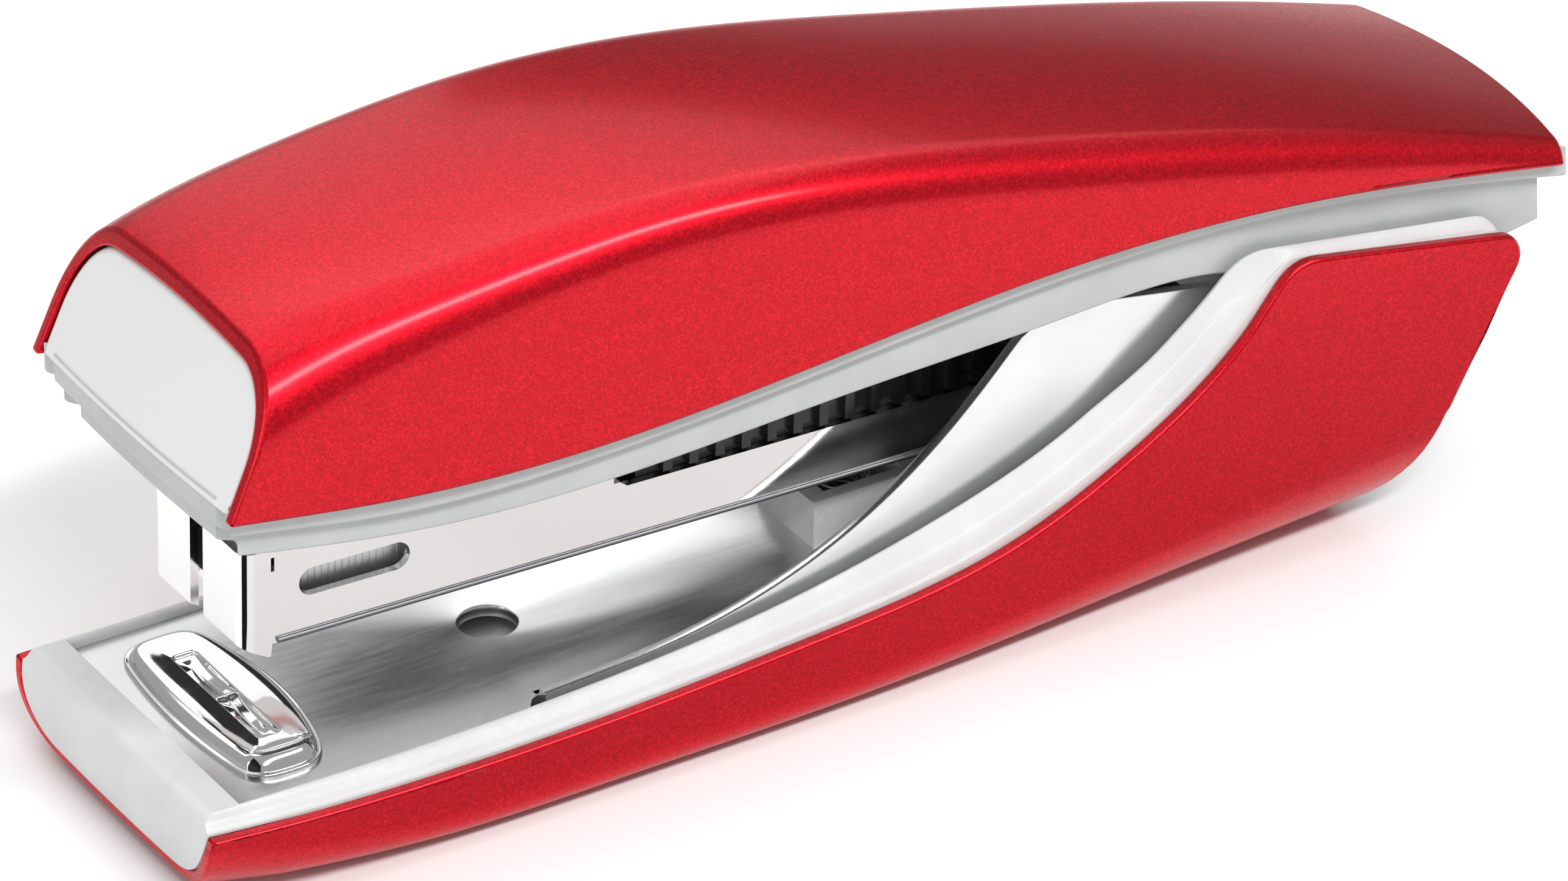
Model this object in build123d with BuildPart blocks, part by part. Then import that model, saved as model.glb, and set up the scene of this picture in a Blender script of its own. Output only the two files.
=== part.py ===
from build123d import *
import os
from math import cos, radians, sin, sqrt

os.makedirs("parts", exist_ok=True)

# Millimetres. Z is up and Z = 0 is the table. The origin is under the middle of the stapler.
# Stations along X below are counted from the nose, and the three planes carry them to the origin.
NOSE_TO_ORIGIN = 53.7
SIDE = Plane(origin=(-NOSE_TO_ORIGIN, 0, 0), x_dir=(1, 0, 0), z_dir=(0, -1, 0))
TOP = Plane(origin=(-NOSE_TO_ORIGIN, 0, 0), x_dir=(1, 0, 0), z_dir=(0, 0, 1))
CROSS = Plane(origin=(-NOSE_TO_ORIGIN, 0, 0), x_dir=(0, 1, 0), z_dir=(1, 0, 0))

# Hinge: one pin carries the magazine and the handle.
PIN_X = 94.0
PIN_Z = 14.5
PIN_R = 1.5
RUNNING_CLEARANCE = 0.05

# Pressed sheet covers.
SHEET = 0.9
FIT_GAP = 0.05

# Handle form: station x, height of the crown, shoulder radius.
HANDLE_STATIONS = [
    (-2, 34.9, 6.0), (8, 38.9, 5.4), (20, 40.8, 4.2), (34, 41.7, 3.6), (50, 40.35, 3.5),
    (66, 37.1, 3.5), (82, 33.3, 3.2), (98, 28.8, 2.4), (112, 24.3, 1.8),
]
HANDLE_HALF_LOW = 13.6
HANDLE_HALF_TOP = 12.95
HANDLE_FLOOR = 16.0
CROWN_RISE = 0.95
HANDLE_REAR = 107.2
RAKE = 0.47
FACE_X = 2.5
FACE_Z = 28.8
FACE_BULGE = 0.5
RIM_INSET = 1.0
SKIRT_INSET = 1.85
SKIRT_WALL = 0.6

# Driver blade, hung from a boss in the handle.
BLADE_X = 8.72
BLADE_T = 0.45

# Lower edges of the handle as seen from the side.
COVER_EDGE = [
    (-6, 29.7), (2.4, 28.6), (14, 26.9), (30, 26.1), (48, 27.2), (66, 28.3), (84, 27.55), (110, 23.3),
]
RIM_EDGE = [
    (-6, 28.2), (3.4, 27.15), (14, 25.3), (30, 24.65), (48, 25.75), (66, 26.9), (84, 26.45), (110, 21.9),
]
SKIRT_EDGE = [(-6, 26.6), (3.7, 25.2), (14, 23.4), (30, 22.25), (48, 22.95), (66, 23.5), (78, 23.6)]
SKIRT_REAR = [(78, 23.6), (84, 20.2), (92, 18.6), (102, 19.2)]

# Base form: station x, half width, radius of the lower edges, height of the underside.
BASE_UNDERSIDE = 0.4
BASE_STATIONS = [
    (-3, 13.1, 6.4, 1.3), (6, 13.7, 4.2, 0.55), (18, 14.0, 2.3, BASE_UNDERSIDE),
    (46, 14.0, 2.3, BASE_UNDERSIDE), (72, 14.0, 5.2, BASE_UNDERSIDE), (108, 13.9, 9.2, BASE_UNDERSIDE),
]
NOSE_X = 0.2
NOSE_BULGE = 0.3
NOSE_ROUND = 0.9
BASE_EDGE = [
    (-6, 6.65), (4, 6.1), (18, 5.85), (32, 6.1), (46, 6.95), (60.2, 8.9), (70.3, 13.15), (77.3, 17.75),
    (82.6, 23.1),
]
RIDGE_EDGE = [
    (-6, 7.6), (4, 7.35), (18, 7.25), (31, 7.7), (44, 9.0), (57, 11.8), (66, 15.0), (74, 19.98), (79, 24.02),
]
LEDGE_DROP = 0.6

# Steel floor plate with its two side flanges.
PLATE_Z = 6.6
PLATE_T = 0.8
RECESS_HALF = 11.35
REAR_HALF = 11.85
RECESS_X = 3.5
FLANGE_OUT = 10.65
FLANGE_EDGE = [(26.6, 7.3), (34, 7.75), (41.3, 8.95), (48.2, 11.3), (54.8, 15.1), (59.3, 18.8), (63.1, 22.6)]
HOLE_X = 28.5
HOLE_R = 2.0

# Magazine: a channel that stands nose up at rest, drawn in its own tilted plane.
TILT = 1.65
MAG_HALF = 6.0
MAG_WALL = 0.6
MAG_FRONT = -86.8
MAG_REAR = 3.2
MAG_BOTTOM = -2.6
STAPLE_PITCH = 0.5
STAPLE_COUNT = 50
STAPLE_FRONT = -84.85
STAPLE_HALF = 4.7
STAPLE_WIRE = 0.5
CROWN_TOP = 3.05
LEG_BOTTOM = -1.95
PUSHER_LENGTH = 8.6

MAG_SIDE = Plane(
    origin=(PIN_X - NOSE_TO_ORIGIN, 0, PIN_Z),
    x_dir=(cos(radians(TILT)), 0, -sin(radians(TILT))),
    z_dir=(0, -1, 0),
)


def mag_cross(u):
    """Plane across the magazine at a distance u from the pin, with Y to the right."""
    return Plane(
        origin=MAG_SIDE.from_local_coords(Vector(u, 0, 0)),
        x_dir=(0, 1, 0),
        z_dir=MAG_SIDE.x_dir,
    )


def mag_deck(v):
    """Plane along the magazine at a height v above the pin."""
    return Plane(
        origin=MAG_SIDE.from_local_coords(Vector(0, v, 0)),
        x_dir=MAG_SIDE.x_dir,
        z_dir=MAG_SIDE.y_dir,
    )


def handle_sections(inset):
    """Sections of the handle's outer form, each moved in by the inset."""
    sections = []
    for x, crown, corner in HANDLE_STATIONS:
        low = HANDLE_HALF_LOW - inset
        side = HANDLE_HALF_TOP - inset
        top = crown - inset
        with BuildSketch(CROSS.offset(x)) as section:
            with BuildLine():
                Polyline(
                    (-side, top - CROWN_RISE), (-low, HANDLE_FLOOR),
                    (low, HANDLE_FLOOR), (side, top - CROWN_RISE),
                )
                ThreePointArc((side, top - CROWN_RISE), (0, top), (-side, top - CROWN_RISE))
            make_face()
            fillet(section.vertices().group_by(Axis.Z)[-1], max(corner - inset, 0.5))
        sections.append(section.sketch)
    return sections


def base_sections(inset):
    """Sections of the base's outer form, each moved in by the inset."""
    sections = []
    for x, half, corner, underside in BASE_STATIONS:
        side = half - inset
        with BuildSketch(CROSS.offset(x)) as section:
            with BuildLine():
                Polyline(
                    (-side, 32), (-side, underside + inset), (side, underside + inset), (side, 32), close=True
                )
            make_face()
            fillet(section.vertices().group_by(Axis.Z)[0], corner - inset)
        sections.append(section.sketch)
    return sections


def above_edge(edge, rear_x):
    """Side view of everything above a lower edge."""
    with BuildSketch(SIDE) as region:
        with BuildLine():
            Spline(edge)
            Polyline(edge[-1], (rear_x, edge[-1][1]), (rear_x, 60), (edge[0][0], 60), edge[0])
        make_face()
    return region.sketch


def raked_front(setback):
    """Plan of everything behind the handle's bulged front face, on the plane z = 10."""
    x = FACE_X + setback - RAKE * (FACE_Z - 10)
    with BuildSketch(TOP.offset(10)) as region:
        with BuildLine():
            ThreePointArc((x + 1.2 * FACE_BULGE, -15), (x, 0), (x + 1.2 * FACE_BULGE, 15))
            Polyline((x + 1.2 * FACE_BULGE, 15), (130, 15), (130, -15), (x + 1.2 * FACE_BULGE, -15))
        make_face()
    return region.sketch


def upright_front(x):
    """Plan of everything behind an upright bulged front and ahead of the bulged rear."""
    with BuildSketch(TOP) as region:
        with BuildLine():
            ThreePointArc((x + 1.2 * FACE_BULGE, -15), (x, 0), (x + 1.2 * FACE_BULGE, 15))
            Line((x + 1.2 * FACE_BULGE, 15), (HANDLE_REAR - 2.2, 15))
            ThreePointArc((HANDLE_REAR - 2.2, 15), (HANDLE_REAR, 0), (HANDLE_REAR - 2.2, -15))
            Line((HANDLE_REAR - 2.2, -15), (x + 1.2 * FACE_BULGE, -15))
        make_face()
    return region.sketch


RAKE_DIR = (RAKE, 0, 1)
RAKE_LENGTH = 45 * sqrt(1 + RAKE**2)

# ---------------------------------------------------------------- handle
with BuildPart() as handle_cover:
    loft(handle_sections(0))
    loft(handle_sections(SHEET), mode=Mode.SUBTRACT)
    extrude(above_edge(COVER_EDGE, 120), amount=20, both=True, mode=Mode.INTERSECT)
    extrude(raked_front(0), amount=RAKE_LENGTH, dir=RAKE_DIR, mode=Mode.INTERSECT)
    extrude(upright_front(-8), amount=60, mode=Mode.INTERSECT)
handle_cover.part.label = "handle_cover"
export_step(handle_cover.part, "parts/handle_cover.step")

with BuildPart() as front_panel:
    loft(handle_sections(RIM_INSET))
    extrude(raked_front(0.2), amount=RAKE_LENGTH, dir=RAKE_DIR, mode=Mode.INTERSECT)
    extrude(raked_front(1.4), amount=RAKE_LENGTH, dir=RAKE_DIR, mode=Mode.SUBTRACT)
    with BuildSketch(TOP.offset(FACE_Z)):
        Rectangle(80, 40)
    extrude(amount=30, mode=Mode.INTERSECT)
front_panel.part.label = "front_panel"
export_step(front_panel.part, "parts/front_panel.step")

# Rim: the upper, wider band of the frame, which lines the cover.
with BuildPart() as frame_rim:
    loft(handle_sections(RIM_INSET))
    extrude(above_edge(RIM_EDGE, 120), amount=20, both=True, mode=Mode.INTERSECT)
    extrude(raked_front(1.4), amount=RAKE_LENGTH, dir=RAKE_DIR, mode=Mode.INTERSECT)
    extrude(upright_front(2.9), amount=60, mode=Mode.INTERSECT)
    with BuildSketch(TOP):
        with Locations((HANDLE_REAR + 9.2, 0)):
            Rectangle(20, 40)
    extrude(amount=60, mode=Mode.SUBTRACT)

# The rim's foot under the front panel fills the panel's lower edge back to the upright front.
with BuildPart() as frame_toe:
    loft(handle_sections(RIM_INSET))
    extrude(above_edge(RIM_EDGE, 120), amount=20, both=True, mode=Mode.INTERSECT)
    extrude(upright_front(2.9), amount=FACE_Z - FIT_GAP, mode=Mode.INTERSECT)
    with BuildSketch(TOP):
        with Locations((0, 0)):
            Rectangle(20, 40)
    extrude(amount=60, mode=Mode.INTERSECT)

# Skirt: the lower, narrower band, deep enough at the rear to hide inside the base.
with BuildPart() as frame_skirt:
    loft(handle_sections(SKIRT_INSET))
    with BuildSketch(SIDE):
        with BuildLine():
            Spline(SKIRT_EDGE)
            Polyline(SKIRT_REAR, (104.4, 23.6), (104.4, 60), (SKIRT_EDGE[0][0], 60), SKIRT_EDGE[0])
        make_face()
    extrude(amount=20, both=True, mode=Mode.INTERSECT)
    with BuildSketch(TOP):
        with Locations((54.2, 0)):
            RectangleRounded(100.8, 2 * (HANDLE_HALF_LOW - SKIRT_INSET), 2.0)
    extrude(amount=28, mode=Mode.INTERSECT)

# Inside of the frame, cleared out in one piece.
with BuildPart() as frame_hollow:
    loft(handle_sections(SKIRT_INSET + SKIRT_WALL))
    extrude(raked_front(2.7), amount=RAKE_LENGTH, dir=RAKE_DIR, mode=Mode.INTERSECT)
    with BuildSketch(TOP):
        with Locations((54.05, 0)):
            Rectangle(97.5, 2 * 11.15)
    extrude(amount=60, mode=Mode.INTERSECT)

with BuildPart() as handle_frame:
    add(frame_rim.part)
    add(frame_toe.part)
    add(frame_skirt.part)
    add(frame_hollow.part, mode=Mode.SUBTRACT)
    # boss that carries the driver blade
    with BuildSketch(TOP.offset(29)):
        with Locations((BLADE_X + BLADE_T + 2.58, 0)):
            Rectangle(5.1, 10)
    extrude(amount=7.6)
    with BuildSketch(CROSS.offset(BLADE_X)):
        with Locations((-2.5, 31.5), (2.5, 31.5)):
            Circle(0.7)
    extrude(amount=3.43, mode=Mode.SUBTRACT)
    # ears that ride on the hinge pin
    for side in (-1, 1):
        with BuildSketch(SIDE.offset(side * 9.2)):
            with BuildLine():
                Polyline(
                    (PIN_X - 3.8, PIN_Z), (PIN_X - 5.5, 28.5),
                    (PIN_X + 4.5, 27.0), (PIN_X + 3.8, PIN_Z), close=True,
                )
            make_face()
            with Locations((PIN_X, PIN_Z)):
                Circle(3.8)
                Circle(PIN_R + RUNNING_CLEARANCE, mode=Mode.SUBTRACT)
        extrude(amount=0.6, both=True)
    # stiffening ribs under the top; the middle one bears on the leaf spring
    for x, low, high in ((24, 35.0, 38.2), (42, 34.6, 38.2), (56.2, 31.0, 36.2), (76, 29.0, 31.8)):
        with BuildSketch(CROSS.offset(x)):
            with Locations((0, (low + high) / 2)):
                Rectangle(21.4, high - low)
        extrude(amount=1.2)
handle_frame.part.label = "handle_frame"
export_step(handle_frame.part, "parts/handle_frame.step")

with BuildPart() as driver_blade:
    with BuildSketch(CROSS.offset(BLADE_X)):
        with Locations((0, 27.0)):
            Rectangle(2 * STAPLE_HALF, 12.8)
        with Locations((-2.5, 31.5), (2.5, 31.5)):
            Circle(0.7, mode=Mode.SUBTRACT)
    extrude(amount=BLADE_T)
driver_blade.part.label = "driver_blade"
export_step(driver_blade.part, "parts/driver_blade.step")

# ---------------------------------------------------------------- base
with BuildPart() as base_front:
    with BuildSketch(TOP):
        with BuildLine():
            ThreePointArc((NOSE_X + 1.2 * NOSE_BULGE, -15), (NOSE_X, 0), (NOSE_X + 1.2 * NOSE_BULGE, 15))
            Polyline(
                (NOSE_X + 1.2 * NOSE_BULGE, 15), (110, 15), (110, -15), (NOSE_X + 1.2 * NOSE_BULGE, -15)
            )
        make_face()
    extrude(amount=40)
    with BuildSketch(SIDE):
        with BuildLine():
            ThreePointArc((NOSE_X + NOSE_ROUND, 8.2), (NOSE_X, 4.2), (NOSE_X + NOSE_ROUND, 0.2))
            Polyline(
                (NOSE_X + NOSE_ROUND, 0.2), (NOSE_X + NOSE_ROUND, -1), (110, -1), (110, 40),
                (NOSE_X + NOSE_ROUND, 40), (NOSE_X + NOSE_ROUND, 8.2),
            )
        make_face()
    extrude(amount=20, both=True, mode=Mode.INTERSECT)


def base_side_view(edge, crown, rear):
    """Side view of everything under an upper edge and ahead of the slanted rear."""
    with BuildSketch(SIDE) as region:
        with BuildLine():
            Spline(edge)
            TangentArc(edge[-1], crown[0], tangent=(0.75, 0.66))
            Polyline(crown + rear + [(edge[0][0], -2), edge[0]])
        make_face()
    return region.sketch


# Rear outline of the cover and, a little inside it, of the insert.
COVER_CROWN = [(85.0, 23.7), (99.3, 21.0)]
COVER_REAR = [(100.9, 20.1), (101.35, 18.4), (98.8, 13.6), (96.6, 9.8), (94.2, 5.2), (91.9, 2.0), (88.0, -2)]
INSERT_CROWN = [(82.2, 24.66), (98.6, 21.95)]
INSERT_REAR = [(100.2, 20.9), (100.65, 18.6), (98.1, 14.0), (95.9, 10.2), (93.5, 5.6), (91.2, 2.4), (88.4, -2)]

with BuildPart() as base_cover:
    loft(base_sections(0))
    loft(base_sections(SHEET), mode=Mode.SUBTRACT)
    extrude(base_side_view(BASE_EDGE, COVER_CROWN, COVER_REAR), amount=20, both=True, mode=Mode.INTERSECT)
    add(base_front.part, mode=Mode.INTERSECT)
base_cover.part.label = "base_cover"
export_step(base_cover.part, "parts/base_cover.step")

# The insert stands proud of the sheet's edge and has a small ledge along it.
ledge_edge = [(x, z - LEDGE_DROP) for x, z in RIDGE_EDGE]
ledge_crown = [(x, z - LEDGE_DROP) for x, z in INSERT_CROWN]
with BuildPart() as insert_low:
    loft(base_sections(SHEET + FIT_GAP))
    extrude(base_side_view(ledge_edge, ledge_crown, INSERT_REAR[1:]), amount=20, both=True, mode=Mode.INTERSECT)
with BuildPart() as insert_high:
    loft(base_sections(SHEET + FIT_GAP + 0.5))
    extrude(base_side_view(RIDGE_EDGE, INSERT_CROWN, INSERT_REAR), amount=20, both=True, mode=Mode.INTERSECT)

RIVET_R = 0.9
RIVET_X = (66.0, 84.0)
PIN_HEAD_R = 2.2
with BuildPart() as base_insert:
    add(insert_low.part)
    add(insert_high.part)
    add(base_front.part, mode=Mode.INTERSECT)
    # tray for the steel plate, wider at the rear where the handle's skirt comes down
    with BuildSketch(TOP.offset(PLATE_Z - PLATE_T)):
        with BuildLine():
            Polyline(
                (RECESS_X, -RECESS_HALF), (68, -RECESS_HALF), (73, -REAR_HALF), (112, -REAR_HALF),
                (112, REAR_HALF), (73, REAR_HALF), (68, RECESS_HALF), (RECESS_X, RECESS_HALF), close=True,
            )
        make_face()
    extrude(amount=30, mode=Mode.SUBTRACT)
    # pockets under the plate, between cross ribs
    for start, end in ((6, 18), (20, 36), (38, 62), (70, 80), (87.4, 89.6)):
        with BuildSketch(TOP.offset(2.4)):
            with Locations(((start + end) / 2, 0)):
                RectangleRounded(end - start, 18, 0.8)
        extrude(amount=10, mode=Mode.SUBTRACT)
    # rivet holes through the rib blocks
    with BuildSketch(TOP.offset(2.4)):
        with Locations(*[(x, y) for x in RIVET_X for y in (-6, 6)]):
            Circle(RIVET_R)
    extrude(amount=10, mode=Mode.SUBTRACT)
base_insert.part.label = "base_insert"
export_step(base_insert.part, "parts/base_insert.step")

with BuildPart() as base_plate:
    with BuildSketch(TOP.offset(PLATE_Z - PLATE_T)):
        with BuildLine():
            Polyline(
                (RECESS_X + 0.1, -11.25), (25.0, -11.25), (26.4, -FLANGE_OUT), (92.4, -FLANGE_OUT),
                (92.4, FLANGE_OUT), (26.4, FLANGE_OUT), (25.0, 11.25), (RECESS_X + 0.1, 11.25), close=True,
            )
        make_face()
        with Locations((HOLE_X, 0)):
            Circle(HOLE_R, mode=Mode.SUBTRACT)
        with Locations((9.0, 0)):
            Circle(RIVET_R, mode=Mode.SUBTRACT)
        with Locations(*[(x, y) for x in RIVET_X for y in (-6, 6)]):
            Circle(RIVET_R, mode=Mode.SUBTRACT)
    extrude(amount=PLATE_T)
    for side in (-1, 1):
        with BuildSketch(SIDE.offset(side * (FLANGE_OUT - PLATE_T / 2))):
            with BuildLine():
                Spline(FLANGE_EDGE)
                Polyline(
                    FLANGE_EDGE[-1], (64.5, 23.4), (70.0, 23.4), (92.0, 19.6), (97.4, 18.6), (98.6, 15.5),
                    (96.6, 10.5), (92.4, PLATE_Z - PLATE_T), (26.6, PLATE_Z - PLATE_T), FLANGE_EDGE[0],
                )
            make_face()
            with Locations((PIN_X, PIN_Z)):
                Circle(PIN_R, mode=Mode.SUBTRACT)
        extrude(amount=PLATE_T / 2, both=True)
base_plate.part.label = "base_plate"
export_step(base_plate.part, "parts/base_plate.step")

with BuildPart() as plate_rivets:
    with BuildSketch(TOP.offset(2.4)):
        with Locations(*[(x, y) for x in RIVET_X for y in (-6, 6)]):
            Circle(RIVET_R)
    extrude(amount=PLATE_Z - 2.4)
    with BuildSketch(TOP.offset(PLATE_Z)):
        with Locations(*[(x, y) for x in RIVET_X for y in (-6, 6)]):
            Circle(1.7)
    extrude(amount=0.5, taper=25)
plate_rivets.part.label = "plate_rivets"
export_step(plate_rivets.part, "parts/plate_rivets.step")

with BuildPart() as anvil:
    with BuildSketch(TOP.offset(PLATE_Z)):
        with BuildLine():
            ThreePointArc((6.0, -9.3), (5.0, 0), (6.0, 9.3))
            Line((6.0, 9.3), (11.2, 9.3))
            ThreePointArc((11.2, 9.3), (13.0, 0), (11.2, -9.3))
            Line((11.2, -9.3), (6.0, -9.3))
        make_face()
        fillet(vertices(), 1.4)
    extrude(amount=1.1)
    fillet(edges().group_by(Axis.Z)[-1], 0.7)
    # two crimping grooves, deep at the outer ends and meeting at a divider
    for side in (-1, 1):
        with BuildSketch(SIDE.offset(-side * 2.9)):
            with Locations((9.0, PLATE_Z + 1.35)):
                Circle(0.75)
        extrude(amount=2.45, both=True, mode=Mode.SUBTRACT)
    # shank that is riveted under the plate
    with BuildSketch(TOP.offset(PLATE_Z - PLATE_T)):
        with Locations((9.0, 0)):
            Circle(RIVET_R)
    extrude(amount=PLATE_T + 0.2)
    with BuildSketch(TOP.offset(PLATE_Z - PLATE_T - 0.5)):
        with Locations((9.0, 0)):
            Circle(1.6)
    extrude(amount=0.5)
anvil.part.label = "anvil"
export_step(anvil.part, "parts/anvil.step")

for name, x in (("front_foot", 22.0), ("rear_foot", 78.0)):
    with BuildPart() as foot:
        with BuildSketch(TOP):
            with Locations((x, 0)):
                RectangleRounded(9, 15, 2)
        extrude(amount=BASE_UNDERSIDE + 0.02)
        # the underside is not quite flat, so the foot is trimmed to it
        add(base_cover.part, mode=Mode.SUBTRACT)
    foot.part.label = name
    export_step(foot.part, f"parts/{name}.step")

with BuildPart() as hinge_pin:
    with BuildSketch(SIDE):
        with Locations((PIN_X, PIN_Z)):
            Circle(PIN_R)
    extrude(amount=FLANGE_OUT, both=True)
    for side in (-1, 1):
        with BuildSketch(SIDE.offset(side * (FLANGE_OUT + 0.35))):
            with Locations((PIN_X, PIN_Z)):
                Circle(PIN_HEAD_R)
        extrude(amount=0.35, both=True)
hinge_pin.part.label = "hinge_pin"
export_step(hinge_pin.part, "parts/hinge_pin.step")

with BuildPart() as spring_block:
    with BuildSketch(TOP.offset(PLATE_Z)):
        with Locations((56, 0)):
            Rectangle(9, 7.2)
            Rectangle(6.2, 5.2, mode=Mode.SUBTRACT)
    extrude(amount=3.5)
    with BuildSketch(TOP.offset(PLATE_Z)):
        with Locations((56, 0)):
            Rectangle(6.2, 5.2)
    extrude(amount=0.6)
spring_block.part.label = "spring_block"
export_step(spring_block.part, "parts/spring_block.step")

with BuildPart() as magazine_spring:
    with BuildLine() as magazine_coil:
        Helix(pitch=0.95, height=3.75, radius=1.7, center=(56 - NOSE_TO_ORIGIN, 0, PLATE_Z + 0.85))
    with BuildSketch(Plane(origin=magazine_coil.line @ 0, z_dir=magazine_coil.line % 0)):
        Circle(0.22)
    sweep(is_frenet=True)
magazine_spring.part.label = "magazine_spring"
export_step(magazine_spring.part, "parts/magazine_spring.step")

# ---------------------------------------------------------------- magazine
with BuildPart() as magazine_channel:
    with BuildSketch(MAG_SIDE):
        with BuildLine():
            Polyline(
                (MAG_FRONT, -2.5), (-84.95, -3.5), (-84.75, -3.5), (-84.65, MAG_BOTTOM), (MAG_REAR, MAG_BOTTOM),
                (MAG_REAR, 3.4), (-5, 3.4), (-10, 1.5), (-58.4, 1.5), (-58.9, 1.9), (-59.4, 1.9), (-59.4, 4.3),
                (MAG_FRONT, 4.3), (MAG_FRONT, -2.5),
            )
        make_face()
    extrude(amount=MAG_HALF, both=True)
    # rounded front corners
    with BuildSketch(mag_deck(-6)):
        with Locations((MAG_FRONT + 50, 0)):
            RectangleRounded(100, 2 * MAG_HALF, 1.0)
    extrude(amount=14, mode=Mode.INTERSECT)
    # inside of the channel
    with BuildSketch(mag_deck(MAG_BOTTOM + MAG_WALL)):
        with Locations((MAG_FRONT + MAG_WALL + 50, 0)):
            RectangleRounded(100, 2 * (MAG_HALF - MAG_WALL), 0.4)
    extrude(amount=14, mode=Mode.SUBTRACT)
    # way out for the staple, and the gap between the two front flaps
    with BuildSketch(mag_deck(-6)):
        with Locations((MAG_FRONT + MAG_WALL + 0.85, 0)):
            Rectangle(1.7, 2 * (MAG_HALF - MAG_WALL))
        with Locations((MAG_FRONT, 0)):
            Rectangle(4, 1.7)
    extrude(amount=14, mode=Mode.SUBTRACT)
    # inspection slot, small slit and pin hole through both walls
    with BuildSketch(MAG_SIDE):
        with Locations((-78.65, 1.2)):
            SlotOverall(8.1, 2.0)
        with Locations((-84.6, 3.2)):
            Rectangle(0.25, 1.0)
        Circle(PIN_R + RUNNING_CLEARANCE)
    extrude(amount=10, both=True, mode=Mode.SUBTRACT)
magazine_channel.part.label = "magazine_channel"
export_step(magazine_channel.part, "parts/magazine_channel.step")


def saddle_section(u, outer, inner, top, under, bottom):
    """Section of an upside-down U that straddles the rail."""
    height = top - bottom
    with BuildSketch(mag_cross(u)) as section:
        with Locations((0, bottom + height / 2)):
            Rectangle(2 * outer, height)
        with Locations((0, bottom + (under - bottom) / 2)):
            Rectangle(2 * inner, under - bottom, mode=Mode.SUBTRACT)
    return section.sketch


RAIL_REAR = -34.0
with BuildPart() as staple_rail:
    extrude(saddle_section(STAPLE_FRONT, 4.1, 3.6, 2.5, 2.0, -2.0), amount=RAIL_REAR - STAPLE_FRONT)
staple_rail.part.label = "staple_rail"
export_step(staple_rail.part, "parts/staple_rail.step")

# A full strip: thin glued web with one rounded wire per staple standing out of it.
with BuildPart() as staples:
    extrude(
        saddle_section(
            STAPLE_FRONT, STAPLE_HALF - 0.08, STAPLE_HALF - STAPLE_WIRE, CROWN_TOP - 0.08, 2.55, LEG_BOTTOM,
        ),
        amount=STAPLE_COUNT * STAPLE_PITCH,
    )
    for i in range(STAPLE_COUNT):
        start = STAPLE_FRONT + i * STAPLE_PITCH + 0.06
        extrude(
            saddle_section(start, STAPLE_HALF, STAPLE_HALF - STAPLE_WIRE, CROWN_TOP, 2.55, LEG_BOTTOM),
            amount=STAPLE_PITCH - 0.12,
        )
staples.part.label = "staples"
export_step(staples.part, "parts/staples.step")

PUSHER_FRONT = STAPLE_FRONT + STAPLE_COUNT * STAPLE_PITCH + 0.02
with BuildPart() as pusher:
    extrude(
        saddle_section(PUSHER_FRONT, STAPLE_HALF, STAPLE_HALF - STAPLE_WIRE, CROWN_TOP, 2.55, -1.9),
        amount=PUSHER_LENGTH,
    )
pusher.part.label = "pusher"
export_step(pusher.part, "parts/pusher.step")

with BuildPart() as feed_cover:
    extrude(saddle_section(-57.4, 5.35, 4.85, 4.0, 3.25, -1.0), amount=43)
    for i in range(20):
        u = -55.6 + 2.0 * i
        extrude(saddle_section(u, 5.9, 5.3, 4.0, 3.9, 1.7), amount=0.7)
        with BuildSketch(mag_cross(u)):
            with Locations((0, 4.2)):
                Rectangle(9.6, 0.6)
        extrude(amount=0.7)
feed_cover.part.label = "feed_cover"
export_step(feed_cover.part, "parts/feed_cover.step")

ROD_R = 0.7
ROD_V = 0.2
with BuildPart() as rod_block:
    with BuildSketch(mag_cross(-20)):
        with Locations((0, -0.3)):
            Rectangle(2 * 4.8, 3.4)
        with Locations((0, ROD_V)):
            Circle(ROD_R, mode=Mode.SUBTRACT)
    extrude(amount=7)
rod_block.part.label = "rod_block"
export_step(rod_block.part, "parts/rod_block.step")

with BuildPart() as guide_rod:
    with BuildSketch(mag_cross(-58)):
        with Locations((0, ROD_V)):
            Circle(ROD_R)
    extrude(amount=45)
guide_rod.part.label = "guide_rod"
export_step(guide_rod.part, "parts/guide_rod.step")

with BuildPart() as pusher_spring:
    with BuildLine() as pusher_coil:
        Helix(
            pitch=1.5, height=36, radius=1.2, direction=MAG_SIDE.x_dir,
            center=MAG_SIDE.from_local_coords(Vector(-57, ROD_V, 0)),
        )
    with BuildSketch(Plane(origin=pusher_coil.line @ 0, z_dir=pusher_coil.line % 0)):
        Circle(0.18)
    sweep(is_frenet=True)
pusher_spring.part.label = "pusher_spring"
export_step(pusher_spring.part, "parts/pusher_spring.step")

CAP_V = -3.9
with BuildPart() as spring_cap:
    with BuildSketch(mag_deck(CAP_V)):
        with Locations((56 - PIN_X, 0)):
            Rectangle(5.0, 4.4)
    extrude(amount=MAG_BOTTOM - CAP_V)
spring_cap.part.label = "spring_cap"
export_step(spring_cap.part, "parts/spring_cap.step")

# Leaf that lifts the handle off the magazine.
LEAF_HALF = 3.5
with BuildPart() as handle_spring:
    with BuildSketch(MAG_SIDE):
        with BuildLine():
            Polyline((-18.5, 4.8), (-27.5, 4.8), (-35.5, 14.2), (-38.0, 14.9))
            offset(amount=0.25, side=Side.BOTH)
        make_face()
    extrude(amount=LEAF_HALF, both=True)
handle_spring.part.label = "handle_spring"
export_step(handle_spring.part, "parts/handle_spring.step")

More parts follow.
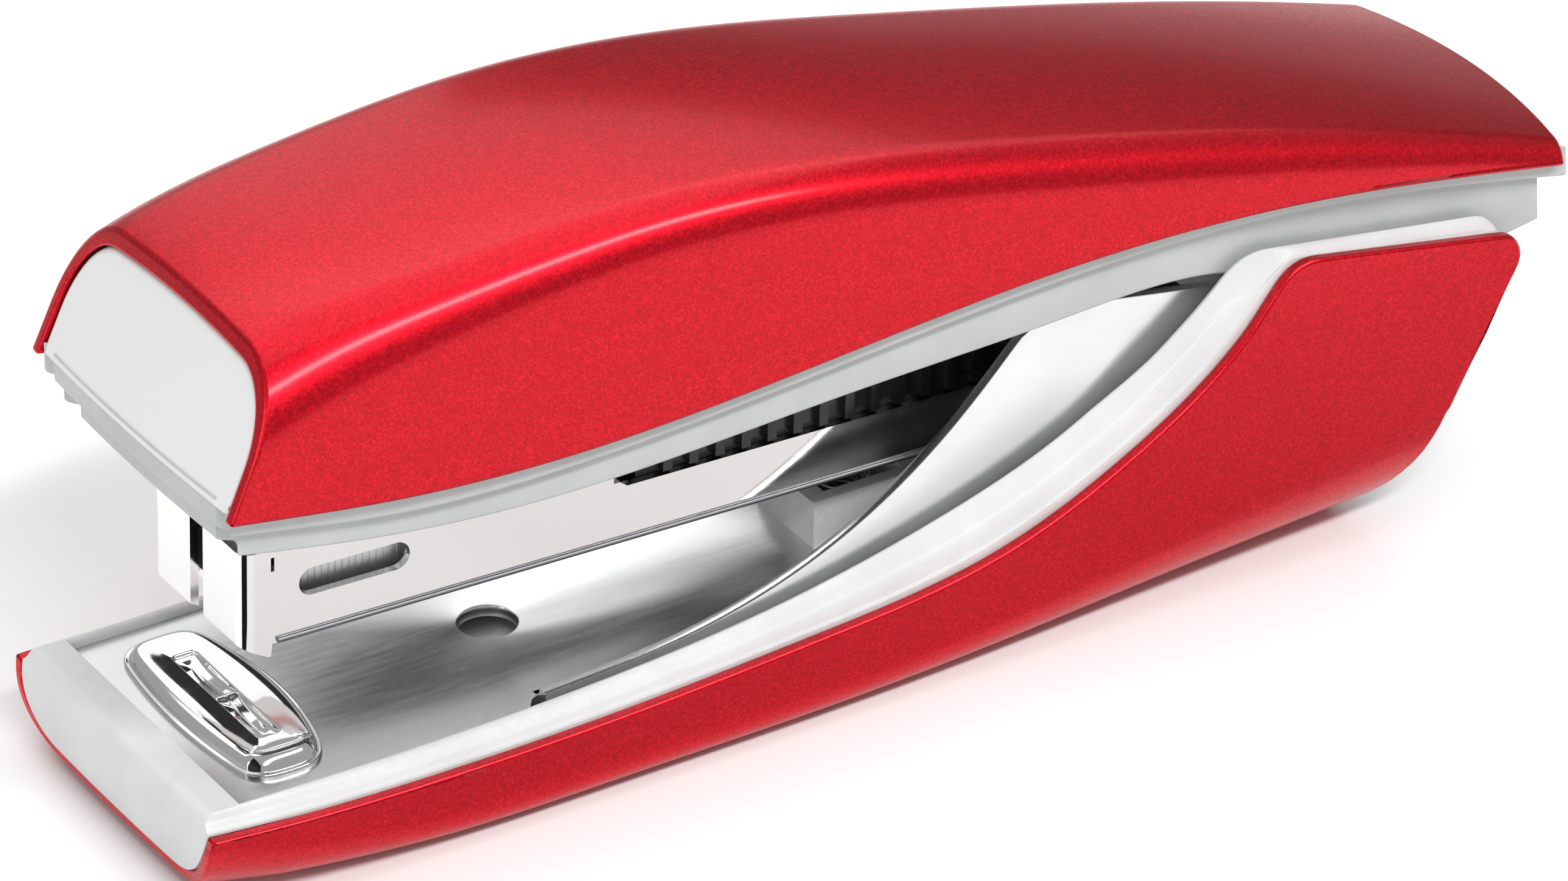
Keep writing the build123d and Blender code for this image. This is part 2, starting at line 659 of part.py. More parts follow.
with BuildPart() as blade_rivets:
    with BuildSketch(CROSS.offset(BLADE_X - 0.57)):
        with Locations((-2.5, 31.5), (2.5, 31.5)):
            Circle(1.2)
    extrude(amount=0.57)
    with BuildSketch(CROSS.offset(BLADE_X)):
        with Locations((-2.5, 31.5), (2.5, 31.5)):
            Circle(0.7)
    extrude(amount=3.4)
blade_rivets.part.label = "blade_rivets"
export_step(blade_rivets.part, "parts/blade_rivets.step")
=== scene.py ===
from math import atan2, cos, pi, radians, sin, sqrt

import bmesh
import bpy
import numpy as np
from mathutils import Matrix, Vector


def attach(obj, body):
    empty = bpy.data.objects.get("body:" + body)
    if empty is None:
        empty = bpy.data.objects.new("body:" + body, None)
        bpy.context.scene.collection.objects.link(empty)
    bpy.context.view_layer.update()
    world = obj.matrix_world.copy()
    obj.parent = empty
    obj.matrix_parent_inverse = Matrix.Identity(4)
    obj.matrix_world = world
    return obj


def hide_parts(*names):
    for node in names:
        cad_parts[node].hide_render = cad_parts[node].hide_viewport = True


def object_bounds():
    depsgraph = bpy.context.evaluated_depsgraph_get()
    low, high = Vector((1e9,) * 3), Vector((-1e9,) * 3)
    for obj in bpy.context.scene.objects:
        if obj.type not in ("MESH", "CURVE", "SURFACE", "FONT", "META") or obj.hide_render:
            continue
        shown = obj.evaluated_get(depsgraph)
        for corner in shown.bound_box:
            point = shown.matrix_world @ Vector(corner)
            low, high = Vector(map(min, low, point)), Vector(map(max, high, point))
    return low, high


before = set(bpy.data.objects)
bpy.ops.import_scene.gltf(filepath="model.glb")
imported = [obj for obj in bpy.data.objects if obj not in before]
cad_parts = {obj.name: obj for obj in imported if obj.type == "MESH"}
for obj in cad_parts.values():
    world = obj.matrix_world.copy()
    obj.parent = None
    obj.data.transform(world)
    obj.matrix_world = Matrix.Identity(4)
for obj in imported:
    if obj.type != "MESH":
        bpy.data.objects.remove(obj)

CAD_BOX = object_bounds()

# Shapes below are in millimetres, with x counted from the nose as in the CAD model.
MM = 0.001
LENGTH = 107.2
NOSE = CAD_BOX[1].x / MM - LENGTH
TABLE_Z = CAD_BOX[0].z

# Handle form.
HANDLE_X = [-2, 8, 20, 34, 50, 66, 82, 98, 112]
HANDLE_CROWN = [34.9, 38.9, 40.8, 41.7, 40.35, 37.1, 33.3, 28.8, 24.3]
HANDLE_CORNER = [6.0, 5.4, 4.2, 3.6, 3.5, 3.5, 3.2, 2.4, 1.8]
HANDLE_HALF_LOW = 13.6
HANDLE_HALF_TOP = 12.95
HANDLE_FLOOR = 16.0
CROWN_RISE = 0.95
HANDLE_REAR = 107.2
REAR_BULGE = 2.2
RAKE = 0.47
FACE_X = 2.5
FACE_Z = 28.8
FACE_BULGE = 0.5
PANEL_MIDDLE_Z = 33.2
SHEET = 0.9
RIM_INSET = 1.02
SKIRT_INSET = 1.85
VAULT_INSET = 1.9
VAULT_REAR = 106.2
COVER_EDGE = [
    (-6, 29.7), (2.4, 28.6), (14, 26.9), (30, 26.1), (48, 27.2), (66, 28.3), (84, 27.55), (110, 23.3),
]
RIM_EDGE = [
    (-6, 28.2), (3.4, 27.15), (14, 25.3), (30, 24.65), (48, 25.75), (66, 26.9), (84, 26.45), (110, 21.9),
]
SKIRT_EDGE = [
    (-6, 26.6), (3.7, 25.2), (14, 23.4), (30, 22.25), (48, 22.95), (66, 23.5), (76, 23.55), (80, 22.6),
    (84, 20.2), (92, 18.6), (102, 19.2), (110, 20.5),
]

# Base form.
BASE_X = [-3, 6, 18, 32, 46, 58, 72, 90, 108]
BASE_HALF = [13.1, 13.7, 14.0, 14.0, 14.0, 14.0, 14.0, 13.95, 13.9]
BASE_CORNER = [6.4, 4.2, 2.3, 2.1, 2.3, 3.2, 5.2, 7.4, 9.2]
BASE_UNDER = [1.3, 0.55, 0.4, 0.4, 0.4, 0.4, 0.4, 0.4, 0.4]
NOSE_X = 0.2
NOSE_BULGE = 0.3
NOSE_ROUND = 0.9
BASE_EDGE = [
    (-6, 6.65), (4, 6.1), (18, 5.85), (32, 6.1), (46, 6.95), (60.2, 8.9), (70.3, 13.15), (77.3, 17.75),
    (82.6, 23.1),
]
RIDGE_EDGE = [
    (-6, 7.6), (4, 7.35), (18, 7.25), (31, 7.7), (44, 9.0), (57, 11.8), (66, 15.0), (74, 19.98), (79, 24.02),
]
REAR_LINE = [(90.4, 0.4), (91.9, 2.0), (94.2, 5.2), (96.6, 9.8), (98.8, 13.6), (101.0, 17.7)]
COVER_JOIN_X = 79.5
INSERT_JOIN_X = 76.0
INSERT_FOOT_Z = 4.6
PLATE_Z = 6.6
PLATE_T = 0.8
PLATE_REAR = 92.4
HOLE_X = 28.5
HOLE_RADIUS = 2.0
ANVIL_X = 9.0
RECESS_HALF = 11.35
REAR_HALF = 11.85
RECESS_X = 3.5
FLANGE_OUT = 10.65
FLANGE_FRONT = 26.6
FLANGE_REAR = 97.0
FLANGE_EDGE = [(26.6, 7.3), (34, 7.75), (41.3, 8.95), (48.2, 11.3), (54.8, 15.1), (59.3, 18.8), (63.1, 22.6)]

# Hinge and magazine plane.
PIN_X = 94.0
PIN_Z = 14.5
PIN_HOLE = 1.55
EAR_RADIUS = 3.8
EAR_SIDES = (8.62, 9.78)
TILT = radians(1.65)
HEM_LENGTH = 84.3
HEM_SIDE = 6.02
HEM_DROP = 2.38


# ---------------------------------------------------------------- curves
def cubic(knots, values):
    """Natural cubic spline through values at the knots, as a function."""
    t = np.asarray(knots, float)
    y = np.asarray(values, float)
    h = np.diff(t)
    n = len(t)
    a = np.eye(n)
    b = np.zeros(n)
    for i in range(1, n - 1):
        a[i, i - 1:i + 2] = h[i - 1], 2 * (h[i - 1] + h[i]), h[i]
        b[i] = 6 * ((y[i + 1] - y[i]) / h[i] - (y[i] - y[i - 1]) / h[i - 1])
    m = np.linalg.solve(a, b)

    def value(x):
        i = int(np.clip(np.searchsorted(t, x) - 1, 0, n - 2))
        p = (t[i + 1] - x) / h[i]
        q = (x - t[i]) / h[i]
        bend = ((p**3 - p) * m[i] + (q**3 - q) * m[i + 1]) * h[i] ** 2 / 6
        return float(p * y[i] + q * y[i + 1] + bend)

    return value


def edge_curve(points):
    """Smooth curve through side-view points, as height over x."""
    points = np.asarray(points, float)
    along = np.concatenate([[0], np.cumsum(np.hypot(*np.diff(points, axis=0).T))])
    fx = cubic(along, points[:, 0])
    fz = cubic(along, points[:, 1])
    samples = np.linspace(0, along[-1], 400)
    xs = np.array([fx(s) for s in samples])
    zs = np.array([fz(s) for s in samples])
    return lambda x: float(np.interp(x, xs, zs))


def resample(points, count):
    """The polyline's points at equal steps of length."""
    points = np.asarray(points, float)
    along = np.concatenate([[0], np.cumsum(np.linalg.norm(np.diff(points, axis=0), axis=1))])
    steps = np.linspace(0, along[-1], count)
    return np.stack([np.interp(steps, along, column) for column in points.T], 1)


def rounded(points, radius, steps=8):
    """Polyline with each inner corner eased over the radius on both sides."""
    points = [np.asarray(p, float) for p in points]
    result = [points[0]]
    for before, corner, after in zip(points, points[1:], points[2:]):
        start = before - corner
        end = after - corner
        reach = min(radius, 0.45 * np.linalg.norm(start), 0.45 * np.linalg.norm(end))
        start = corner + start / np.linalg.norm(start) * reach
        end = corner + end / np.linalg.norm(end) * reach
        for t in np.linspace(0, 1, steps):
            result.append((1 - t) ** 2 * start + 2 * t * (1 - t) * corner + t * t * end)
    result.append(points[-1])
    return np.array(result)


crown_at = cubic(HANDLE_X, HANDLE_CROWN)
corner_at = cubic(HANDLE_X, HANDLE_CORNER)
cover_edge = edge_curve(COVER_EDGE)
rim_edge = edge_curve(RIM_EDGE)
skirt_edge = edge_curve(SKIRT_EDGE)
half_at = cubic(BASE_X, BASE_HALF)
base_corner_at = cubic(BASE_X, BASE_CORNER)
base_edge = edge_curve(BASE_EDGE)
ridge_edge = edge_curve(RIDGE_EDGE)
flange_edge = edge_curve(FLANGE_EDGE)


def bulge_back(bulge, y):
    """How far a bulged face has fallen back at a distance from the middle plane."""
    return 1.2 * bulge * (y / 15) ** 2


def face_x(y, z, setback=0.0):
    """Where the raked and bulged front face is."""
    return FACE_X + setback + RAKE * (z - FACE_Z) + bulge_back(FACE_BULGE, y)


def rear_x(y):
    """Where the bulged rear end of the handle is."""
    return HANDLE_REAR - REAR_BULGE * (y / 15) ** 2


def nose_x(y, z):
    """Where the nose of the base is, bulged both ways."""
    return NOSE_X + bulge_back(NOSE_BULGE, y) + NOSE_ROUND * min(abs(z - 4.2) / 4, 1) ** 2


def base_rear_x(z):
    """Where the slanted rear of the base is."""
    return float(np.interp(z, [p[1] for p in REAR_LINE], [p[0] for p in REAR_LINE]))


def under_at(x):
    """Height of the base's underside."""
    return float(np.interp(x, BASE_X, BASE_UNDER))


def handle_half(x, z, inset):
    """Half width of the handle's slanted sides."""
    rise = crown_at(x) - inset - CROWN_RISE - HANDLE_FLOOR
    return HANDLE_HALF_LOW - inset + (HANDLE_HALF_TOP - HANDLE_HALF_LOW) * (z - HANDLE_FLOOR) / rise


def mag(u, v):
    """Station and height of a point in the magazine's tilted plane."""
    return PIN_X + u * cos(TILT) + v * sin(TILT), PIN_Z - u * sin(TILT) + v * cos(TILT)


def ease(t):
    """Smooth step from 0 to 1."""
    t = min(max(t, 0.0), 1.0)
    return t * t * (3 - 2 * t)


def handle_profile(x, inset, low):
    """Half of the handle's section from the height low up the side and over to the middle, as (y, z)."""
    side = HANDLE_HALF_TOP - inset
    foot = HANDLE_HALF_LOW - inset
    top = crown_at(x) - inset
    r = max(corner_at(x) - inset, 0.5)
    arc = (side**2 + CROWN_RISE**2) / (2 * CROWN_RISE)
    centre_z = top - arc
    line = Vector((side - foot, top - CROWN_RISE - HANDLE_FLOOR)).normalized()
    inward = Vector((-line.y, line.x))
    start = Vector((foot, HANDLE_FLOOR)) + r * inward - Vector((0, centre_z))
    b = start.dot(line)
    t = -b + sqrt(max(b * b - start.length_squared + (arc - r) ** 2, 0))
    centre = start + t * line
    on_line = centre - r * inward + Vector((0, centre_z))
    a0 = atan2(-inward.y, -inward.x)
    a1 = atan2(centre.y, centre.x)
    points = [(foot, HANDLE_FLOOR), (on_line.x, on_line.y)]
    centre.y += centre_z
    for k in range(1, 25):
        a = a0 + (a1 - a0) * k / 24
        points.append((centre.x + r * cos(a), centre.y + r * sin(a)))
    for k in range(1, 21):
        a = a1 + (pi / 2 - a1) * k / 20
        points.append((arc * cos(a), centre_z + arc * sin(a)))
    points = np.array(points)
    y_low = np.interp(low, points[:, 1], points[:, 0])
    above = points[points[:, 1] > low + 1e-6]
    return np.vstack([[(y_low, low)], above])


# ---------------------------------------------------------------- meshes
def grid_faces(rows, cols, first=0):
    """Quads of a grid whose points are stored row by row from the first one."""
    faces = []
    for r in range(rows - 1):
        for c in range(cols - 1):
            a = first + r * cols + c
            faces.append((a, a + 1, a + cols + 1, a + cols))
    return faces


def shell_mesh(outer, inner):
    """Closed wall between two grids of points of the same size."""
    rows, cols = outer.shape[:2]
    count = rows * cols
    faces = grid_faces(rows, cols) + [f[::-1] for f in grid_faces(rows, cols, count)]
    ring = list(range(cols))
    ring += [r * cols + cols - 1 for r in range(1, rows)]
    ring += [(rows - 1) * cols + c for c in range(cols - 2, -1, -1)]
    ring += [r * cols for r in range(rows - 2, 0, -1)]
    for a, b in zip(ring, ring[1:] + ring[:1]):
        faces.append((b, a, a + count, b + count))
    return np.vstack([outer.reshape(-1, 3), inner.reshape(-1, 3)]), faces


def ring_mesh(rings, closed_ends=True):
    """Closed loops of points joined one to the next, with both ends filled."""
    count = len(rings[0])
    points = np.vstack(rings)
    faces = []
    for k in range(len(rings) - 1):
        for i in range(count):
            j = (i + 1) % count
            faces.append((k * count + i, k * count + j, (k + 1) * count + j, (k + 1) * count + i))
    if closed_ends:
        faces.append(tuple(range(count))[::-1])
        faces.append(tuple((len(rings) - 1) * count + i for i in range(count)))
    return points, faces


def loft_mesh(sections):
    """Tube through closed sections of points, with its ends filled."""
    return ring_mesh([np.asarray(section, float) for section in sections])


def joined(*parts):
    """Several lists of points and faces as one."""
    points, faces, count = [], [], 0
    for p, f in parts:
        points.append(np.asarray(p, float))
        faces += [tuple(i + count for i in face) for face in f]
        count += len(p)
    return np.vstack(points), faces


def mirrored(part):
    """The same points and faces on the other side of the middle plane."""
    points, faces = part
    return np.asarray(points, float) * (1, -1, 1), [f[::-1] for f in faces]


# Merge distance and bevel angle of the mesh pieces.
MERGE = 1e-6
BEVEL_ANGLE = radians(40)


def piece(name, points, faces, body, slot, nodes=(), bevel=0.0, segments=3, sharp=38):
    """A mesh piece in the shared frame, from points in nose millimetres."""
    points = np.asarray(points, float).copy()
    points[:, 0] += NOSE
    mesh = bpy.data.meshes.new(name)
    mesh.from_pydata([tuple(p) for p in points * MM], [], [tuple(int(i) for i in f) for f in faces])
    bm = bmesh.new()
    bm.from_mesh(mesh)
    bmesh.ops.remove_doubles(bm, verts=bm.verts, dist=MERGE)
    bmesh.ops.dissolve_degenerate(bm, edges=bm.edges, dist=MERGE)
    bmesh.ops.recalc_face_normals(bm, faces=bm.faces)
    bm.to_mesh(mesh)
    bm.free()
    mesh.shade_smooth()
    mesh.set_sharp_from_angle(angle=radians(sharp))
    obj = bpy.data.objects.new(name, mesh)
    bpy.context.scene.collection.objects.link(obj)
    if bevel:
        mod = obj.modifiers.new("edge", "BEVEL")
        mod.width = bevel * MM
        mod.segments = segments
        mod.limit_method = "ANGLE"
        mod.angle_limit = BEVEL_ANGLE
        mod.use_clamp_overlap = False
        obj.modifiers.new("normals", "WEIGHTED_NORMAL").keep_sharp = True
    obj.data.materials.append(MATERIALS[slot])
    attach(obj, body)
    if nodes:
        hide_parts(*nodes)


# ---------------------------------------------------------------- materials
MATERIALS = {}


class Surface:
    """A principled material with helpers for its procedural nodes."""

    def __init__(self, name, color, metallic=0.0, roughness=0.5, **sockets):
        self.material = bpy.data.materials.new(name)
        self.material.use_nodes = True
        self.tree = self.material.node_tree
        self.shader = self.tree.nodes["Principled BSDF"]
        self.shader.inputs["Base Color"].default_value = (*color, 1)
        self.shader.inputs["Metallic"].default_value = metallic
        self.shader.inputs["Roughness"].default_value = roughness
        for socket, value in sockets.items():
            self.shader.inputs[socket.replace("_", " ")].default_value = value
        self.where = self.tree.nodes.new("ShaderNodeTexCoord").outputs["Object"]
        MATERIALS[name] = self.material

    def node(self, kind, **links):
        """A node with the given inputs linked."""
        made = self.tree.nodes.new(kind)
        for key, source in links.items():
            self.tree.links.new(source, made.inputs[key])
        return made

    def stretched(self, x, y, z):
        """Coordinates scaled per axis."""
        made = self.node("ShaderNodeMapping", Vector=self.where)
        made.inputs["Scale"].default_value = (x, y, z)
        return made.outputs["Vector"]

    def noise(self, size, detail, vector=None):
        """Noise with features of the given size in millimetres."""
        made = self.node("ShaderNodeTexNoise", Vector=vector or self.where)
        made.inputs["Scale"].default_value = 1 / (size * MM)
        made.inputs["Detail"].default_value = detail
        made.inputs["Roughness"].default_value = 0.55
        return made.outputs["Fac"]

    def cells(self, size, output="Color"):
        """Voronoi cells of the given size in millimetres."""
        made = self.node("ShaderNodeTexVoronoi", Vector=self.where)
        made.inputs["Scale"].default_value = 1 / (size * MM)
        return made.outputs[output]

    def ramp(self, source, stops):
        """Colours or plain values between (position, colour) stops."""
        made = self.node("ShaderNodeValToRGB", Fac=source)
        while len(made.color_ramp.elements) < len(stops):
            made.color_ramp.elements.new(0.5)
        for element, (position, color) in zip(made.color_ramp.elements, stops):
            element.position = position
            element.color = (*color, 1) if isinstance(color, tuple) else (color, color, color, 1)
        return made.outputs["Color"]

    def mixed(self, a, b, factor):
        """Two colours mixed, with the factor as the second one's share."""
        made = self.tree.nodes.new("ShaderNodeMix")
        made.data_type = "RGBA"
        made.inputs["Factor"].default_value = factor
        self.tree.links.new(a, made.inputs[6])
        self.tree.links.new(b, made.inputs[7])
        return made.outputs[2]

    def color(self, source):
        """Links the base colour."""
        self.tree.links.new(source, self.shader.inputs["Base Color"])

    def gloss(self, source):
        """Links the roughness."""
        self.tree.links.new(source, self.shader.inputs["Roughness"])

    def bump(self, *layers):
        """Bump from (height, depth in millimetres, strength) layers."""
        normal = None
        for height, depth, strength in layers:
            made = self.node("ShaderNodeBump", Height=height)
            made.inputs["Distance"].default_value = depth * MM
            made.inputs["Strength"].default_value = strength
            if normal is not None:
                self.tree.links.new(normal, made.inputs["Normal"])
            normal = made.outputs["Normal"]
        self.tree.links.new(normal, self.shader.inputs["Normal"])


red = Surface(
    "red_paint", (0.58, 0.002, 0.012), 0.94, 0.34, Coat_Weight=0.30, Coat_Roughness=0.16, Coat_IOR=1.5,
)
flakes = red.ramp(
    red.cells(0.13), [(0.0, (0.36, 0.001, 0.007)), (0.55, (0.58, 0.002, 0.012)), (1.0, (0.92, 0.012, 0.030))],
)
clouds = red.ramp(red.noise(0.22, 2), [(0.3, (0.44, 0.001, 0.008)), (0.7, (0.68, 0.004, 0.018))])
red.color(red.mixed(flakes, clouds, 0.4))
red.gloss(red.ramp(red.noise(0.3, 3), [(0.3, 0.33), (0.7, 0.44)]))
red.bump((red.noise(0.16, 2), 0.010, 0.30), (red.noise(2.4, 2), 0.05, 0.04))

white = Surface("white_plastic", (0.62, 0.63, 0.63), 0.0, 0.46, Specular_IOR_Level=0.45)
white.color(white.ramp(white.noise(5.0, 3), [(0.35, (0.60, 0.61, 0.61)), (0.65, (0.65, 0.66, 0.66))]))
white.gloss(white.ramp(white.noise(0.5, 3), [(0.35, 0.42), (0.65, 0.54)]))
white.bump((white.cells(0.42, "Distance"), 0.05, 0.35), (white.noise(0.12, 2), 0.01, 0.2))

# Frame plastic: the same moulding colour as the white insert, set darker here; the lower tone is painted
# shade of the skirt that faces down.
grey = Surface("grey_plastic", (0.43, 0.45, 0.45), 0.0, 0.44, Specular_IOR_Level=0.45)
grey.color(grey.ramp(grey.noise(6.0, 3), [(0.35, (0.42, 0.44, 0.44)), (0.65, (0.46, 0.48, 0.48))]))
grey.gloss(grey.ramp(grey.noise(0.5, 3), [(0.35, 0.40), (0.65, 0.50)]))
grey.bump((grey.cells(0.3, "Distance"), 0.03, 0.22), (grey.noise(0.1, 2), 0.01, 0.2))

black = Surface("black_plastic", (0.012, 0.012, 0.013), 0.0, 0.22, Specular_IOR_Level=0.6)
black.gloss(black.ramp(black.noise(1.2, 3), [(0.3, 0.16), (0.7, 0.32)]))
black.bump((black.noise(0.6, 3), 0.02, 0.2))

chrome = Surface("bright_chrome", (0.90, 0.90, 0.89), 1.0, 0.06)
chrome.gloss(chrome.ramp(chrome.noise(1.4, 4, chrome.stretched(0.35, 1, 1)), [(0.3, 0.04), (0.7, 0.10)]))
chrome.bump(
    (chrome.noise(0.25, 3, chrome.stretched(0.1, 1, 1)), 0.004, 0.12),
    (chrome.noise(4.0, 2), 0.05, 0.03),
)

steel = Surface("satin_steel", (0.74, 0.74, 0.73), 1.0, 0.24)
steel.color(steel.ramp(steel.noise(9.0, 3), [(0.3, (0.72, 0.73, 0.73)), (0.7, (0.77, 0.78, 0.78))]))
steel.gloss(steel.ramp(steel.noise(0.5, 4, steel.stretched(0.12, 1, 1)), [(0.3, 0.23), (0.7, 0.28)]))
steel.bump((steel.noise(0.14, 3, steel.stretched(0.2, 1, 1)), 0.004, 0.12))

wire = Surface("staple_wire", (0.80, 0.81, 0.82), 0.75, 0.34)
wire.gloss(wire.ramp(wire.noise(0.4, 3), [(0.3, 0.28), (0.7, 0.40)]))
wire.bump((wire.noise(0.3, 2), 0.006, 0.15))

spring = Surface("spring_steel", (0.50, 0.50, 0.52), 1.0, 0.28)
spring.gloss(spring.ramp(spring.noise(0.5, 3), [(0.3, 0.20), (0.7, 0.36)]))
spring.bump((spring.noise(0.1, 2), 0.004, 0.3))

# The hem is rolled from the bright chrome channel; its dark grey colour is painted shade, standing in for the
# dark line under the roll.
hem_shaded_look = Surface("hem_steel", (0.22, 0.22, 0.23), 1.0, 0.40)
hem_shaded_look.gloss(hem_shaded_look.ramp(hem_shaded_look.noise(0.8, 3), [(0.3, 0.36), (0.7, 0.44)]))
hem_shaded_look.bump((hem_shaded_look.noise(0.3, 2), 0.002, 0.1))

rubber = Surface("foot_rubber", (0.03, 0.03, 0.032), 0.0, 0.8)
rubber.gloss(rubber.ramp(rubber.noise(0.4, 3), [(0.3, 0.70), (0.7, 0.88)]))
rubber.bump((rubber.noise(0.25, 3), 0.02, 0.4))

gloss = Surface("white_gloss", (0.70, 0.70, 0.70), 0.0, 0.30, Specular_IOR_Level=0.5)
gloss.gloss(gloss.ramp(gloss.noise(0.8, 3), [(0.35, 0.34), (0.65, 0.38)]))
gloss.bump((gloss.noise(0.12, 2), 0.003, 0.05))

NODE_SLOTS = {
    "red_paint": ("handle_cover", "base_cover"),
    "white_plastic": ("front_panel", "base_insert", "spring_block"),
    "grey_plastic": ("handle_frame",),
    "black_plastic": ("feed_cover", "rod_block", "spring_cap"),
    "bright_chrome": ("magazine_channel", "anvil"),
    "satin_steel": ("base_plate", "plate_rivets", "hinge_pin", "staple_rail", "pusher", "blade_rivets"),
    "staple_wire": ("staples",),
    "spring_steel": ("driver_blade", "magazine_spring", "guide_rod", "pusher_spring", "handle_spring"),
    "foot_rubber": ("front_foot", "rear_foot"),
}
for slot, names in NODE_SLOTS.items():
    for name in names:
        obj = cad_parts[name]
        for item in obj.material_slots:
            item.material = MATERIALS[slot]
        if not obj.material_slots:
            obj.data.materials.append(MATERIALS[slot])

# ---------------------------------------------------------------- handle
SAMPLED = {}
FIRST_STATION = -4
LAST_STATION = 112
STATION_STEP = 0.2


def sampled(x, inset, edge, cols):
    """Half section at x, looked up between evenly spaced stations."""
    key = (inset, cols, id(edge))
    if key not in SAMPLED:
        stations = np.arange(FIRST_STATION, LAST_STATION, STATION_STEP)
        SAMPLED[key] = np.array([resample(handle_profile(s, inset, edge(s)), cols) for s in stations])
    table = SAMPLED[key]
    place = (x - FIRST_STATION) / STATION_STEP
    i = int(np.clip(place, 0, len(table) - 2))
    return table[i] + (table[i + 1] - table[i]) * (place - i)


def handle_grid(inset, front, rear, edge, cols, rows):
    """Grid over the handle's form, with each row a section from the right lower edge over to the left one."""
    grid = np.zeros((rows, 2 * cols - 1, 3))
    for c in range(cols):
        x0 = FACE_X
        x1 = HANDLE_REAR
        for _ in range(4):
            y, z = sampled(x0, inset, edge, cols)[c]
            x0 = front(y, z)
            y, z = sampled(x1, inset, edge, cols)[c]
            x1 = rear(y)
        for r in range(rows):
            x = x0 + (x1 - x0) * r / (rows - 1)
            y, z = sampled(x, inset, edge, cols)[c]
            grid[r, c] = x, -y, z
            grid[r, 2 * cols - 2 - c] = x, y, z
    return grid


cover_outside = handle_grid(0, face_x, rear_x, cover_edge, 61, 150)
cover_inside = handle_grid(SHEET, face_x, rear_x, cover_edge, 61, 150)
piece(
    "handle_sheet", *shell_mesh(cover_outside, cover_inside), "handle", "red_paint", ["handle_cover"],
    bevel=0.26,
)

# Front panel: rings of points from the middle out to the outline in front, and back in behind.
PANEL_FRONT = 0.2
PANEL_BACK = 1.4
PANEL_POINTS = 48


def panel_outline(setback):
    """Outline of the panel as (y, z), inside the cover and along its own lower edge."""
    half = []
    for y, z in resample(handle_profile(FACE_X + 4, RIM_INSET, FACE_Z), PANEL_POINTS):
        for _ in range(4):
            profile = resample(handle_profile(face_x(y, z, setback), RIM_INSET, FACE_Z), PANEL_POINTS)
            y, z = profile[len(half)]
        half.append((y, z))
    right = [(-y, z) for y, z in half]
    left = [(y, z) for y, z in half[-2::-1]]
    width = half[0][0]
    bottom = [(width * (1 - 2 * k / 20), FACE_Z) for k in range(1, 20)]
    return right + left + bottom


def panel_ring(outline, share, setback):
    """The outline shrunk towards the panel's middle, laid on the raked face."""
    centre = np.array([0, PANEL_MIDDLE_Z])
    ring = []
    for p in outline:
        y, z = centre + (np.array(p) - centre) * share
        ring.append((face_x(y, z, setback), y, z))
    return np.array(ring)


panel_edge = panel_outline(PANEL_FRONT)
panel_rings = [panel_ring(panel_edge, k / 10, PANEL_FRONT) for k in range(1, 11)]
panel_rings += [panel_ring(panel_edge, k / 4, PANEL_BACK) for k in (4, 3, 2, 1)]
piece("nose_panel", *ring_mesh(panel_rings), "handle", "white_gloss", ["front_panel"], bevel=0.35)


# Frame: a closed band with a rim, a step and a skirt, swept round the handle.
def plan_loop(front, rear, radius, side_count=110, corner_count=8, end_count=18):
    """Half plan of a rounded rectangle as (x, share of the end's half width, distance in from the side).

    The distance is None along the two straight ends.
    """
    right = []
    for k in range(end_count):
        right.append((front, k / end_count, None))
    for k in range(corner_count + 1):
        a = pi / 2 * k / corner_count
        right.append((front + radius * (1 - sin(a)), 1, radius * (1 - cos(pi / 2 - a))))
    for k in range(1, side_count):
        right.append((front + radius + (rear - front - 2 * radius) * k / side_count, 1, 0.0))
    for k in range(corner_count + 1):
        a = pi / 2 * k / corner_count
        right.append((rear - radius * (1 - cos(a)), 1, radius * (1 - cos(a))))
    for k in range(end_count - 1, -1, -1):
        right.append((rear, k / end_count, None))
    return right


def band_ring(front, rear, radius, inset, height):
    """One closed ring of the band at a height over the table that changes along the handle."""
    ring = []
    half = plan_loop(front, rear, radius)
    for sign in (-1, 1):
        part = half if sign < 0 else half[-2:0:-1]
        for x, share, inward in part:
            z = height(x)
            width = handle_half(x, z, inset)
            y = width - inward if inward is not None else (width - radius) * share
            back = bulge_back(FACE_BULGE, y) if x < front + radius else 0.0
            ring.append((x + back, sign * y, z))
    return np.array(ring)


